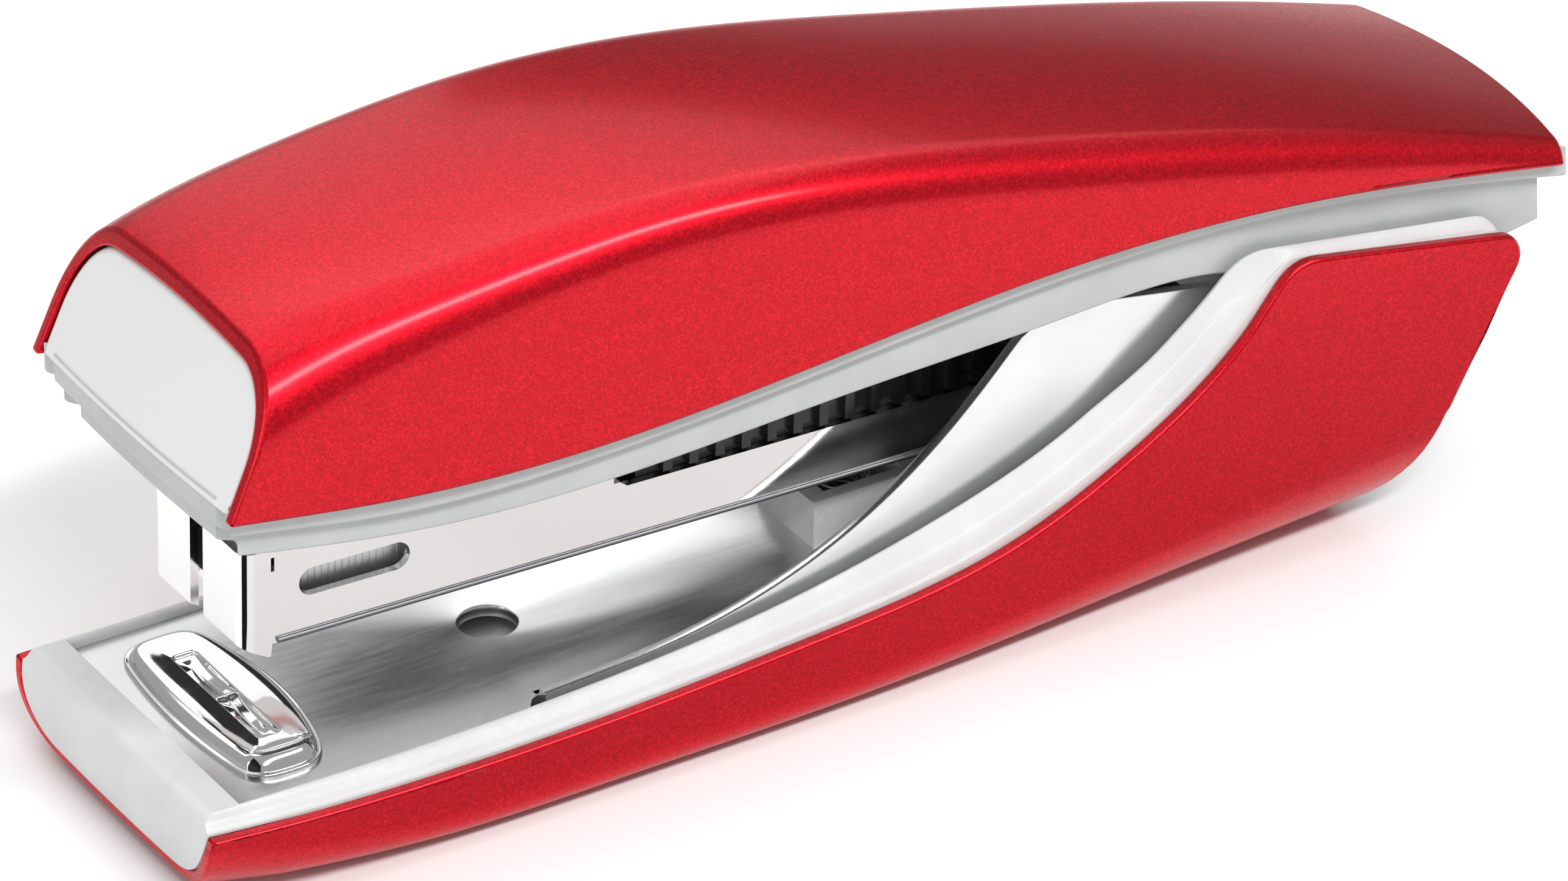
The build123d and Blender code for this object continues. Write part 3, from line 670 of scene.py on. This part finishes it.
def band_profile():
    """Rings from the hidden top of the rim down over the step and the skirt, and up inside it."""
    rings = []
    rim = (2.9, 106.4, 0.9)
    skirt = (3.85, 104.6, 2.0)

    def at(shape, inset, height):
        grow = inset - (RIM_INSET if shape is rim else SKIRT_INSET)
        front, rear, radius = shape
        rings.append(band_ring(front + grow, rear - grow, max(radius - grow, 0.2), inset, height))

    def hidden_top(x):
        return cover_edge(x) + 0.9

    at(rim, VAULT_INSET, hidden_top)
    at(rim, RIM_INSET, hidden_top)
    at(rim, RIM_INSET, lambda x: rim_edge(x) + 0.30)
    at(rim, 1.05, lambda x: rim_edge(x) + 0.15)
    at(rim, 1.14, lambda x: rim_edge(x) + 0.05)
    at(rim, 1.30, rim_edge)
    at(skirt, 1.78, rim_edge)
    at(skirt, SKIRT_INSET, lambda x: rim_edge(x) - 0.06)
    at(skirt, SKIRT_INSET, lambda x: rim_edge(x) - 0.2)
    at(skirt, SKIRT_INSET, lambda x: 0.5 * (rim_edge(x) + skirt_edge(x)))
    at(skirt, SKIRT_INSET, lambda x: skirt_edge(x) + 0.26)
    at(skirt, 1.88, lambda x: skirt_edge(x) + 0.12)
    at(skirt, 1.97, lambda x: skirt_edge(x) + 0.03)
    at(skirt, 2.10, skirt_edge)
    at(skirt, 2.30, skirt_edge)
    at(skirt, 2.45, lambda x: skirt_edge(x) + 0.12)
    at(skirt, 2.45, hidden_top)
    rings.append(rings[0])
    return rings


def prism(outline, front, rear):
    """Flat outline of (y, z) points, filled from one station to another."""
    return ring_mesh([np.array([(x, y, z) for y, z in outline]) for x in (front, rear)])


def ear(side):
    """Plate that rides on the hinge pin, with its hole."""
    loops = []
    for depth in EAR_SIDES:
        outer, inner = [], []
        for k in range(48):
            a = 2 * pi * k / 48
            reach = EAR_RADIUS
            if sin(a) > 0:
                flank = EAR_RADIUS / max(abs(cos(a)), 1e-6) * 1.05
                reach = max(min(12.6 / max(sin(a), 1e-6), flank, 13.2), EAR_RADIUS)
            outer.append((PIN_X + reach * cos(a), side * depth, PIN_Z + reach * sin(a)))
            inner.append((PIN_X + PIN_HOLE * cos(a), side * depth, PIN_Z + PIN_HOLE * sin(a)))
        loops.append((np.array(outer), np.array(inner)))
    (o0, i0), (o1, i1) = loops
    return ring_mesh([o0, o1, i1, i0, o0], closed_ends=False)


def rib(x, low, high):
    """Cross rib with chamfered upper corners."""
    points = [(-10.7, low), (10.7, low), (10.7, high - 1.0), (9.6, high), (-9.6, high), (-10.7, high - 1.0)]
    return prism(points, x, x + 1.2)


def vault_face(y, z):
    """Front end of the vault, behind the panel."""
    return face_x(y, z, 1.5)


def vault_rear(y):
    """Flat rear end of the vault."""
    return VAULT_REAR


vault = shell_mesh(
    handle_grid(RIM_INSET, vault_face, vault_rear, cover_edge, 41, 60),
    handle_grid(VAULT_INSET, vault_face, vault_rear, cover_edge, 41, 60),
)
piece(
    "frame_band", *joined(ring_mesh(band_profile(), closed_ends=False), vault), "handle", "grey_plastic",
    ["handle_frame"],
)

boss = prism([(-5, 29), (5, 29), (5, 37.2), (-5, 37.2)], 9.2, 14.3)
toe = prism([(-12.0, 27.4), (12.0, 27.4), (12.2, 28.7), (-12.2, 28.7)], 3.6, 5.2)
piece(
    "frame_inside",
    *joined(
        ear(-1), ear(1), boss, toe,
        rib(24, 35.0, 39.2), rib(42, 34.6, 39.0), rib(56.2, 31.0, 36.9), rib(76, 29.0, 32.6),
    ),
    "handle", "grey_plastic", ["handle_frame"], bevel=0.2,
)

# ---------------------------------------------------------------- base
def boundary(edge, join_x, corner_points):
    """Side-view outline that follows an edge from the nose and then goes round the rear corners."""
    xs = np.linspace(-1.0, join_x, 120)
    first = np.array([(x, edge(x)) for x in xs])
    rest = rounded([first[-1]] + corner_points, 1.9)
    return resample(np.vstack([first, rest[1:]]), 600)


def lengths_along(line):
    """Length from the start of a polyline to each of its points."""
    return np.concatenate([[0], np.cumsum(np.hypot(*np.diff(line, axis=0).T))])


COVER_COLUMNS = 220
FLOOR_JOIN_X = 77.5
FLOOR_REAR_X = 96.0
cover_line = boundary(base_edge, COVER_JOIN_X, [(82.9, 23.95), (100.9, 20.65), (101.7, 19.0), (98.8, 13.6)])


def base_side(x, z, inset):
    """Half width of the base's form, moved in by the inset, at a height on its side or lower corner."""
    r = base_corner_at(x)
    over = under_at(x) + r - z
    reach = r - inset
    return half_at(x) - r + (sqrt(max(reach**2 - over**2, 0)) if over > 0 else reach)


def base_cover_grid(inset):
    """Grid over the U-shaped sheet, with a row of points across it at each place along its upper edge."""
    along = lengths_along(cover_line)
    side_rows, arc_rows, floor_rows = 16, 14, 12
    nose_half = 13.2
    start = nose_x(nose_half, 6.3)
    s_nose = float(np.interp(start, cover_line[:200, 0], along[:200]))
    s_join = float(np.interp(COVER_JOIN_X, cover_line[:450, 0], along[:450]))
    low_start = nose_x(nose_half, 5.0)
    grid = []
    for c in range(COVER_COLUMNS):
        s = s_nose + (along[-1] - s_nose) * c / (COVER_COLUMNS - 1)
        bx = float(np.interp(s, along, cover_line[:, 0]))
        bz = float(np.interp(s, along, cover_line[:, 1]))
        low_x = float(np.interp(s, [s_nose, s_join, along[-1]], [low_start, FLOOR_JOIN_X, FLOOR_REAR_X]))
        column = []
        z_low = min(under_at(low_x) + base_corner_at(low_x), bz - 0.8)
        for k in range(side_rows):
            f = k / side_rows
            x = bx + (low_x - bx) * f
            z = bz + (z_low - bz) * f
            if c == 0:
                x = nose_x(nose_half, z)
            column.append((x, base_side(x, z, inset), z))
        f = (low_x - low_start) / (FLOOR_REAR_X - low_start)
        for k in range(arc_rows + floor_rows + 1):
            x = low_x
            for _ in range(3):
                r = base_corner_at(x)
                half = half_at(x)
                under = under_at(x)
                if k <= arc_rows:
                    reach = r - inset
                    first = np.arcsin(np.clip((under + r - z_low) / reach, 0, 1))
                    a = first + (pi / 2 - first) * k / arc_rows
                    y = half - r + reach * cos(a)
                    z = under + r - reach * sin(a)
                    z_out = z - inset * sin(a)
                else:
                    y = (half - r) * (1 - (k - arc_rows) / floor_rows)
                    z = under + inset
                    z_out = under
                x0 = nose_x(y, z_out)
                x = x0 + f * (base_rear_x(z_out) - x0)
            column.append((x, y, z))
        grid.append([(x, -y, z) for x, y, z in column] + [(x, y, z) for x, y, z in column[-2::-1]])
    return np.array(grid)


piece(
    "base_sheet", *shell_mesh(base_cover_grid(0), base_cover_grid(SHEET)), "base", "red_paint",
    ["base_cover"], bevel=0.2, segments=2,
)

# Insert: two rails with stepped outer strips, the nose block between them and a tray under the plate.
insert_line = boundary(ridge_edge, INSERT_JOIN_X, [(79.7, 24.83), (99.7, 21.85), (100.9, 19.6), (98.1, 14.0)])
INSERT_GAP = 0.05


def rail_section(x, edge_z, ridge_z, strip):
    """Section of a rail from its hidden inner foot over the top to its outer foot, as (y, z).

    The strip goes from 1, stepped, to 0, plain.
    """
    inner = RECESS_HALF + (REAR_HALF - RECESS_HALF) * ease((x - 67.5) / 6)
    outer = half_at(x) - SHEET - INSERT_GAP
    rise = ridge_z - edge_z
    crease = edge_z + rise * (0.14 + 0.38 * strip)
    strip_y = outer - 0.10 - 0.45 * strip
    points = [(inner, INSERT_FOOT_Z), (inner, 5.4), (inner, ridge_z - 0.42)]
    for k in range(1, 6):
        a = pi / 2 * k / 5
        points.append((inner + 0.4 * (1 - cos(a)), ridge_z - 0.42 + 0.4 * sin(a)))
    for k in range(1, 7):
        t = k / 7
        bow = 0.10 * sin(pi * t)
        y = inner + 0.4 + (strip_y - inner - 0.4) * t
        points.append((y, ridge_z - 0.02 + (crease - ridge_z) * t + bow))
    points += [
        (strip_y, crease + 0.02),
        (strip_y + 0.04 * strip, crease - 0.03),
        (strip_y + 0.10 * strip, crease - 0.10 * strip),
        (strip_y + 0.20 * strip, crease - 0.45 * rise * 0.38 * strip),
        (strip_y + 0.33 * strip, edge_z + 0.14 + 0.03 * strip),
        (outer - 0.15, edge_z + 0.12),
        (outer - 0.07, edge_z + 0.13),
        (outer - 0.02, edge_z + 0.08),
        (outer, edge_z - 0.02),
        (outer, edge_z - 0.9),
        (outer, min(INSERT_FOOT_Z, edge_z - 1.2)),
    ]
    return points


def rail():
    """Sections of one rail from the recess to the rear."""
    along = lengths_along(insert_line)
    s_front = float(np.interp(RECESS_X, insert_line[:200, 0], along[:200]))
    s_join = float(np.interp(INSERT_JOIN_X, insert_line[:450, 0], along[:450]))
    sections = []
    for c in range(200):
        s = s_front + (along[-1] - s_front) * c / 199
        tx = float(np.interp(s, along, insert_line[:, 0]))
        tz = float(np.interp(s, along, insert_line[:, 1]))
        foot_x = float(np.interp(s, [s_front, s_join, along[-1]], [RECESS_X, 73.5, 92.6]))
        strip = 1 - ease((tx - 78.5) / 3.0)
        cover_z = base_edge(tx) if tx < 80 else float(np.interp(tx, [80, 82.9, 100.9], [20.5, 23.7, 20.6]))
        edge_z = min(cover_z + 0.06, tz - 0.3)
        section = []
        for y, z in rail_section(tx, edge_z, tz, strip):
            f = min(max((z - INSERT_FOOT_Z) / (tz - INSERT_FOOT_Z), 0), 1)
            section.append((foot_x + (tx - foot_x) * f, y, z))
        sections.append(section)
    return loft_mesh(sections)


def nose_side(x):
    """Half section of the nose block from the bottom round the lower corner and up over the strips."""
    r = base_corner_at(x)
    reach = r - (SHEET + INSERT_GAP)
    half, under = half_at(x), under_at(x)
    edge_z = base_edge(x) + 0.06
    last = np.arccos(np.clip((under + r - edge_z + 0.5) / reach, -1, 1))
    turns = [last * k / 12 for k in range(13)]
    points = [(half - r + reach * sin(a), under + r - reach * cos(a)) for a in turns]
    upper = rail_section(x, edge_z, ridge_edge(x), 1)[3:-2]
    return points + upper[::-1]


NOSE_EDGE_ROUND = 0.55
LID_X = 2.1


def nose_block():
    """Solid ahead of the recess, as plan outlines stacked from the bottom up to the crest, and its lid."""
    levels = len(nose_side(1.0))
    top = ridge_edge(1.0)
    rings = []
    for k in range(levels):
        side = []
        x_front = nose_x(12.5, 4) + 0.06
        for _ in range(3):
            w, z = nose_side(x_front)[k]
            drop = min(max(NOSE_EDGE_ROUND - (top - z), 0), NOSE_EDGE_ROUND)
            fallen = NOSE_EDGE_ROUND - sqrt(max(NOSE_EDGE_ROUND**2 - drop**2, 0))
            x_front = nose_x(w, z) + 0.06 + fallen
        for i in range(9):
            x = x_front + (RECESS_X - x_front) * i / 8
            side.append((x, *nose_side(x)[k]))
        front = []
        for i in range(1, 24):
            y = w * (1 - 2 * i / 24)
            front.append((nose_x(y, z) + x_front - nose_x(w, z), y, side[0][2]))
        back = [(RECESS_X, side[-1][1] * (2 * i / 12 - 1), side[-1][2]) for i in range(1, 12)]
        right = [(x, -y, z1) for x, y, z1 in side]
        rings.append(np.array(side[::-1] + front + right + back))
    crest = max(range(levels), key=lambda k: rings[k][:, 2].max())
    rings = rings[:crest + 1]
    for share in (0.7, 0.35, 0.05):
        lid = rings[crest].copy()
        lid[:, 0] = LID_X + (lid[:, 0] - LID_X) * share
        lid[:, 1] *= share
        lid[:, 2] = [ridge_edge(x) for x in lid[:, 0]]
        rings.append(lid)
    return ring_mesh(rings)


def tray():
    """Floor of the insert under the steel plate, rounded like the sheet that holds it."""
    sections = []
    side = 11.4
    for x in np.linspace(RECESS_X - 0.3, 88.0, 60):
        r = base_corner_at(x)
        reach = r - (SHEET + 0.1)
        half = [(0.0, 4.5), (side, 4.5), (side, 4.2)]
        for k in range(9):
            a = pi / 2 * k / 8
            y = half_at(x) - r + reach * cos(a)
            z = under_at(x) + r - reach * sin(a)
            half.append((min(y, side), min(z, 4.1)))
        section = [(x, y, z) for y, z in half] + [(x, -y, z) for y, z in half[:0:-1]]
        sections.append(section)
    return loft_mesh(sections)


rail_right = rail()
piece(
    "insert_rails", *joined(mirrored(rail_right), rail_right, nose_block(), tray()), "base",
    "white_plastic", ["base_insert"],
)


# Floor plate with its hole, and the flanges that rise from it with rounded bends.
def plate_floor():
    """Flat part of the plate, with the rounded edge of its hole."""
    corners = [
        (3.45, 0), (3.45, -11.25), (25.0, -11.25), (26.4, -9.3), (PLATE_REAR, -9.3), (PLATE_REAR, 9.3),
        (26.4, 9.3), (25.0, 11.25), (3.45, 11.25), (3.45, 0),
    ]
    outline = resample(rounded(corners, 0.2), 161)[:-1]

    def at(z):
        return np.array([(x, y, z) for x, y in outline])

    def hole(grow, z):
        turns = [pi + 2 * pi * k / 160 for k in range(160)]
        r = HOLE_RADIUS + grow
        return np.array([(HOLE_X + r * cos(a), r * sin(a), z) for a in turns])

    lip = [hole(grow, PLATE_Z - drop) for grow, drop in ((0.18, 0.0), (0.06, 0.05), (0.0, 0.18))]
    low_z = PLATE_Z - PLATE_T
    return ring_mesh([at(PLATE_Z)] + lip + [hole(0, low_z), at(low_z), at(PLATE_Z)], closed_ends=False)


def flange():
    """One flange: its bend, inner face, rounded top edge and outer face, and the underside of the plate."""
    sections = []
    inner = FLANGE_OUT - PLATE_T
    for c in range(130):
        x = FLANGE_FRONT + (FLANGE_REAR - FLANGE_FRONT) * c / 129
        if x < 63.1:
            top = flange_edge(x)
        else:
            top = float(np.interp(x, [63.1, 64.5, 70, 92, FLANGE_REAR], [22.6, 23.4, 23.4, 19.6, 18.7]))
        bend = min(0.8, max(top - PLATE_Z - 0.25, 0.05))
        low = float(np.interp(x, [PLATE_REAR, FLANGE_REAR], [PLATE_Z - PLATE_T, 11.6]))
        floor = PLATE_Z if x < PLATE_REAR else low
        points = []
        if x < PLATE_REAR:
            points += [(9.0, low), (9.0, floor), (inner - bend, floor)]
            for k in range(1, 6):
                a = pi / 2 * k / 5
                points.append((inner - bend + bend * sin(a), floor + bend * (1 - cos(a))))
        else:
            points += [(inner, low + 0.001 * k) for k in range(8)]
        points += [(inner, top - 0.14), (inner + 0.04, top - 0.04), (inner + 0.14, top), (inner + 0.4, top)]
        points += [(FLANGE_OUT - 0.14, top), (FLANGE_OUT - 0.04, top - 0.04), (FLANGE_OUT, top - 0.14)]
        points += [(FLANGE_OUT, 0.5 * (top + low)), (FLANGE_OUT, low + 0.4), (FLANGE_OUT - 0.2, low)]
        sections.append([(x, y, z) for y, z in points])
    return loft_mesh(sections)


flange_right = flange()
piece(
    "floor_plate", *joined(plate_floor(), flange_right, mirrored(flange_right)), "base", "satin_steel",
    ["base_plate"],
)


# Anvil: a flat rim, a rounded pillow, and a slot with two leaf-shaped grooves.
def anvil_outline(count):
    """Plan of the rim, with bowed front and back edges and smoothed corners, as (x, y)."""
    front = [(4.98 + 1.05 * (y / 9.35) ** 2, y) for y in np.linspace(8.3, -8.3, 40)]
    back = [(13.05 - 1.9 * (y / 9.35) ** 2, y) for y in np.linspace(-8.3, 8.3, 40)]
    near = [(7.0, -9.3), (8.8, -9.38), (10.5, -9.3)]
    far = [(10.5, 9.3), (8.8, 9.38), (7.0, 9.3)]
    path = front + near + back + far + front[:1]
    path = resample(path, 400)[:-1]
    smooth = path.copy()
    for _ in range(50):
        smooth = (np.roll(smooth, 1, 0) + 2 * smooth + np.roll(smooth, -1, 0)) / 4
    smooth = np.vstack([smooth, smooth[:1]])
    return resample(smooth, count + 1)[:-1]


def slot_outline(count, half_x, half_y, radius):
    """Plan of the slot as a rounded rectangle, as (x, y)."""
    path = []
    for cx, cy, a0 in ((-1, 1, 90), (-1, -1, 180), (1, -1, 270), (1, 1, 0)):
        for k in range(13):
            a = radians(a0 + 90 * k / 12)
            x = cx * (half_x - radius) + radius * cos(a)
            path.append((ANVIL_X + x, cy * (half_y - radius) + radius * sin(a)))
    path.append(path[0])
    return resample(path, count + 1)[:-1]


PILLOW_REACH = 1.9


def from_far_side(loop):
    """The loop of (x, y) points, started where it lies straight to the left of the anvil's middle."""
    turn = np.arctan2(loop[:, 1], loop[:, 0] - ANVIL_X)
    return np.roll(loop, -int(np.argmin(abs(turn - pi / 2))), 0)


def anvil():
    """Rings from the rim's foot in over the pillow and down into the slot."""
    count = 240
    outer = from_far_side(anvil_outline(count))
    slot = from_far_side(slot_outline(count, 0.95, 5.9, 0.35))
    rings = [np.column_stack([outer, np.full(count, PLATE_Z)])]
    heights = [
        (0.0, 0.12), (0.02, 0.24), (0.05, 0.30), (0.14, 0.33), (0.24, 0.32), (0.30, 0.29), (0.34, 0.30),
        (0.38, 0.38), (0.46, 0.56), (0.58, 0.74), (0.74, 0.90), (0.95, 1.02), (1.2, 1.09), (1.5, 1.12),
        (PILLOW_REACH, 1.12),
    ]
    inward = slot - outer
    reach = np.linalg.norm(inward, axis=1, keepdims=True)
    for depth, height in heights:
        share = np.minimum(depth / reach, 0.92)
        ring = outer + inward * share
        lift = [0.20 * ease((-7.3 - y) / 0.35) * ease((height - 0.9) / 0.2) for x, y in ring]
        rings.append(np.column_stack([ring, PLATE_Z + height + np.array(lift)]))
    for share in (0.35, 0.7, 0.94):
        keep = np.minimum(PILLOW_REACH / reach, 0.92)
        here = outer + inward * (keep + (1 - keep) * share)
        rings.append(np.column_stack([here, np.full(count, PLATE_Z + 1.11 - 0.16 * share)]))

    def shrunk(amount):
        """Slot outline moved in towards its own long middle line."""
        middle = np.column_stack([np.full(count, ANVIL_X), np.clip(slot[:, 1], -4.9, 4.9)])
        return middle + (slot - middle) * (1 - amount)

    for amount, height in ((0.0, 0.95), (0.06, 0.93), (0.12, 0.84), (0.16, 0.70)):
        rings.append(np.column_stack([shrunk(amount), np.full(count, PLATE_Z + height)]))
    for amount in (0.25, 0.4, 0.6, 0.8, 0.97):
        ring = shrunk(amount)
        z = []
        for x, y in ring:
            leaf = sin(pi * min(max((abs(y) - 0.25) / 5.3, 0), 1)) ** 0.7
            z.append(PLATE_Z + 0.66 - 0.48 * leaf * amount + 0.20 * max(0.0, 1 - abs(y) / 0.35))
        rings.append(np.column_stack([ring, z]))
    return ring_mesh(rings)


piece("anvil_pillow", *anvil(), "base", "bright_chrome", ["anvil"], sharp=60)


# ---------------------------------------------------------------- magazine hems
def hem(side):
    """Rolled lower edge along the magazine wall."""
    sections = []
    for c in range(60):
        u = HEM_LENGTH * (c / 59 - 1)
        section = []
        for k in range(10):
            a = 2 * pi * k / 10
            x, z = mag(u, 0.21 * sin(a) - HEM_DROP)
            section.append((x, side * (HEM_SIDE + 0.27 * cos(a)), z))
        sections.append(section)
    return loft_mesh(sections)


# The hems use the dark steel whose colour is painted shade along the roll.
piece("magazine_hems", *joined(hem(-1), hem(1)), "magazine", "hem_steel")

# ---------------------------------------------------------------- camera
AZIMUTH = radians(32.204)
ELEVATION = radians(30.377)
LENS = 195.65
DISTANCE = 0.56502
AIM_AHEAD = 0.00225
AIM_HEIGHT = 0.01316

right = Vector((cos(AZIMUTH), -sin(AZIMUTH), 0))
back = Vector((-sin(AZIMUTH) * cos(ELEVATION), -cos(AZIMUTH) * cos(ELEVATION), sin(ELEVATION)))
middle = (CAD_BOX[0] + CAD_BOX[1]) / 2
aim = Vector((middle.x - AIM_AHEAD, middle.y, AIM_HEIGHT))
turn = Matrix((right, back.cross(right), back)).transposed().to_4x4()
camera = bpy.data.objects.new("camera", bpy.data.cameras.new("camera"))
bpy.context.scene.collection.objects.link(camera)
camera.data.sensor_width = 36
camera.data.lens = LENS
camera.data.clip_start = 0.01
camera.data.clip_end = 20
camera.matrix_world = Matrix.Translation(aim + back * DISTANCE) @ turn
bpy.context.scene.camera = camera

# ---------------------------------------------------------------- studio
def sheet(name, width, height, specular, tones):
    """Flat matt sheet for the stage, with colours from clouds of a size between two tones."""
    size, detail, dark, light = tones
    look = Surface(name + "_paper", (dark, dark, dark), 0.0, 0.9, Specular_IOR_Level=specular)
    look.color(look.ramp(look.noise(size, detail), [(0.3, (dark,) * 3), (0.7, (light,) * 3)]))
    w, h = width / 2, height / 2
    mesh = bpy.data.meshes.new(name)
    mesh.from_pydata([(-w, -h, 0), (w, -h, 0), (w, h, 0), (-w, h, 0)], [], [(0, 1, 2, 3)])
    mesh.materials.append(look.material)
    obj = bpy.data.objects.new(name, mesh)
    bpy.context.scene.collection.objects.link(obj)
    return obj


floor = sheet("floor", 8, 8, 0.1, (30.0, 3, 0.86, 0.88))
floor.location.z = TABLE_Z

world = bpy.data.worlds.new("studio")
bpy.context.scene.world = world
world.use_nodes = True
world.node_tree.nodes["Background"].inputs["Color"].default_value = (1.0, 1.0, 1.0, 1)
world.node_tree.nodes["Background"].inputs["Strength"].default_value = 0.36


def softbox(name, direction, distance, width, height, power):
    """Rectangular light at a distance along a direction from the object's middle, facing it."""
    light = bpy.data.lights.new(name, "AREA")
    light.shape = "RECTANGLE"
    light.size = width
    light.size_y = height
    light.energy = power
    obj = bpy.data.objects.new(name, light)
    place = Vector(direction).normalized() * distance
    obj.location = middle + place
    obj.rotation_mode = "QUATERNION"
    obj.rotation_quaternion = (-place).to_track_quat("-Z", "Y")
    bpy.context.scene.collection.objects.link(obj)


def card(name, place, facing, width, height, shade):
    """Card that only polished parts mirror, at an offset in metres from the object's middle."""
    obj = sheet(name, width, height, 0.0, (40.0, 2, shade, 1.2 * shade))
    obj.location = middle + Vector(place)
    obj.rotation_mode = "QUATERNION"
    obj.rotation_quaternion = Vector(facing).to_track_quat("Z", "Y")
    obj.visible_camera = False
    obj.visible_diffuse = False
    obj.visible_shadow = False


softbox("key", (0.10, -0.62, 0.78), 0.9, 1.0, 0.09, 7.4)
softbox("side", (-1.0, -0.35, 0.40), 0.9, 0.6, 0.5, 2.0)
softbox("top", (0.10, 0.30, 1.0), 1.1, 1.5, 1.2, 7.2)
softbox("back", (0.46, 0.73, 0.56), 0.9, 0.80, 0.60, 1.10)
card("plate_card", (0.162, 0.116, 0.068), (-0.46, -0.73, -0.506), 0.24, 0.07, 0.02)
card("corner_card", (-0.0620, -0.0170, -0.0060), (1, 0, 0), 0.017, 0.026, 0.01)
card("front_floor_card", (0.010, -0.0290, -0.0195), (0, 0, 1), 0.30, 0.026, 0.58)

bpy.context.scene.view_settings.view_transform = "Standard"
